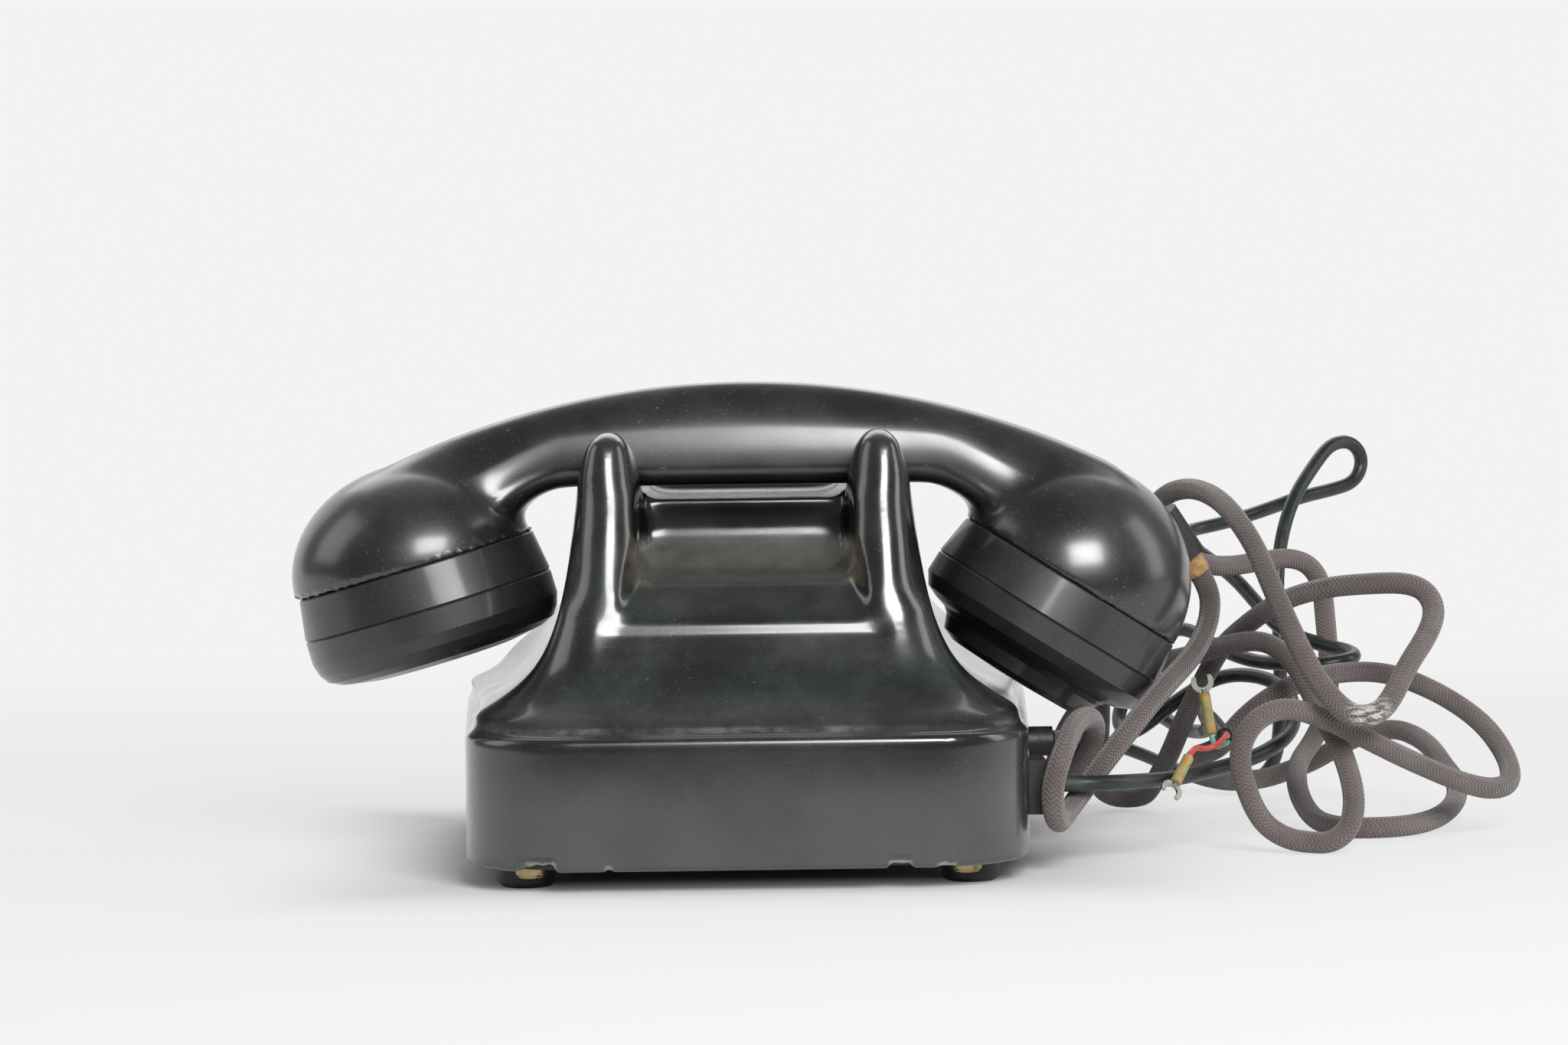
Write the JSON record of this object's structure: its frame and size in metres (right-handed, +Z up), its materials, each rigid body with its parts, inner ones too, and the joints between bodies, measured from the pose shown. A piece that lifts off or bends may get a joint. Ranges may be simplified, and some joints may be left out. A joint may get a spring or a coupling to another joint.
{
  "type": "desk telephone",
  "caption": "Rotary-dial desk telephone in black moulded bakelite, with a handset on a pronged cradle, an inside ringer, a braided handset cord and a cut rubber line cord.",
  "frame": {"origin": "on the table under the middle of the telephone", "axes": "+Z up, -Y towards the dial and the person using it, +X towards the receiver end of the handset"},
  "size_m": [0.3318, 0.2503, 0.1265],
  "materials": {
    "bakelite": "aged gloss",
    "bell_metal": "nickel plate",
    "braid": "woven textile",
    "brass": "dull brass",
    "capacitor_can": "dull aluminium",
    "chrome": "worn chrome",
    "coil_wire": "enamelled copper wire",
    "dark_plate": "black enamel",
    "green_insulation": "rubber insulation",
    "line_rubber": "aged rubber",
    "moulded_insulation": "matt black",
    "number_enamel": "cream enamel",
    "red_insulation": "rubber insulation",
    "rubber": "aged rubber",
    "spring_steel": "spring steel",
    "steel": "dull steel",
    "varnished_sleeve": "amber varnish",
    "whipping": "wound thread",
    "zinc_screw": "yellow zinc plate"
  },
  "bodies": {
    "base": {"base_plate": "dark_plate", "base_screws": "zinc_screw", "capacitor": "capacitor_can", "cord_outlet_block": "moulded_insulation", "cord_sleeve": "rubber", "cut_sheath_end": "line_rubber", "dial_back_bridge": "steel", "dial_clamp_ring": "steel", "dial_clamp_screws": "zinc_screw", "dial_contacts": "moulded_insulation", "dial_finger_stop": "chrome", "dial_number_plate": "number_enamel", "dial_plate": "dark_plate", "dial_return_spring": "spring_steel", "fork_lugs": "brass", "gong_left": "bell_metal", "gong_posts": "steel", "gong_right": "bell_metal", "gong_screws": "zinc_screw", "green_wire": "green_insulation", "handset_cord": "braid", "hook_bracket": "steel", "hook_contacts": "moulded_insulation", "hook_springs": "spring_steel", "housing": "bakelite", "induction_coil_bobbin": "moulded_insulation", "induction_coil_winding": "coil_wire", "line_cord": "line_rubber", "lug_sleeves": "varnished_sleeve", "red_wire": "red_insulation", "ringer_coils": "coil_wire", "ringer_cores": "steel", "ringer_frame": "steel", "ringer_pin": "steel", "rubber_feet": "rubber", "terminal_block": "moulded_insulation", "terminal_screws": "zinc_screw"},
    "handset": {"handset_body": "bakelite", "receiver_ring": "bakelite", "receiver_cap": "bakelite", "receiver_capsule": "capacitor_can", "receiver_contacts": "moulded_insulation", "transmitter_ring": "bakelite", "transmitter_cap": "bakelite", "transmitter_capsule": "capacitor_can", "transmitter_contacts": "moulded_insulation", "handset_cord_collar": "rubber", "cord_whipping": "whipping"},
    "hook": {"hook_plungers": "moulded_insulation", "hook_bridge": "steel"},
    "dial": {"dial_finger_wheel": "dark_plate", "dial_centre_cap": "chrome", "dial_shaft": "steel", "dial_main_gear": "brass", "dial_cam": "steel"},
    "governor": {"dial_governor": "brass"},
    "clapper": {"ringer_armature": "steel", "clapper": "steel"}
  },
  "joints": [
    {"name": "handset_lift", "type": "slide", "parent": "base", "child": "handset", "axis": [0, 0, 1], "range_m": [0, 0.06]},
    {"name": "hook_rise", "type": "slide", "parent": "base", "child": "hook", "axis": [0, 0, 1], "range_m": [0, 0.004]},
    {"name": "dial_turn", "type": "hinge", "parent": "base", "child": "dial", "pos_m": [0, -0.0555, 0.0715], "axis": [0, 0.7071, -0.7071], "range_deg": [0, 325], "stiffness_Nm_per_rad": 0.004},
    {"name": "governor_spin", "type": "hinge", "parent": "base", "child": "governor", "pos_m": [-0.02125, -0.0555, 0.0715], "axis": [0, 0.7071, -0.7071], "range_deg": [-1300, 0]},
    {"name": "clapper_swing", "type": "hinge", "parent": "base", "child": "clapper", "pos_m": [0, 0.0182, 0.023], "axis": [0, 0, 1], "range_deg": [-6.5, 6.5]}
  ],
  "couplings": [
    {"joint": "hook_rise", "follows": "handset_lift", "ratio": 0.0666},
    {"joint": "governor_spin", "follows": "dial_turn", "ratio": -4}
  ]
}
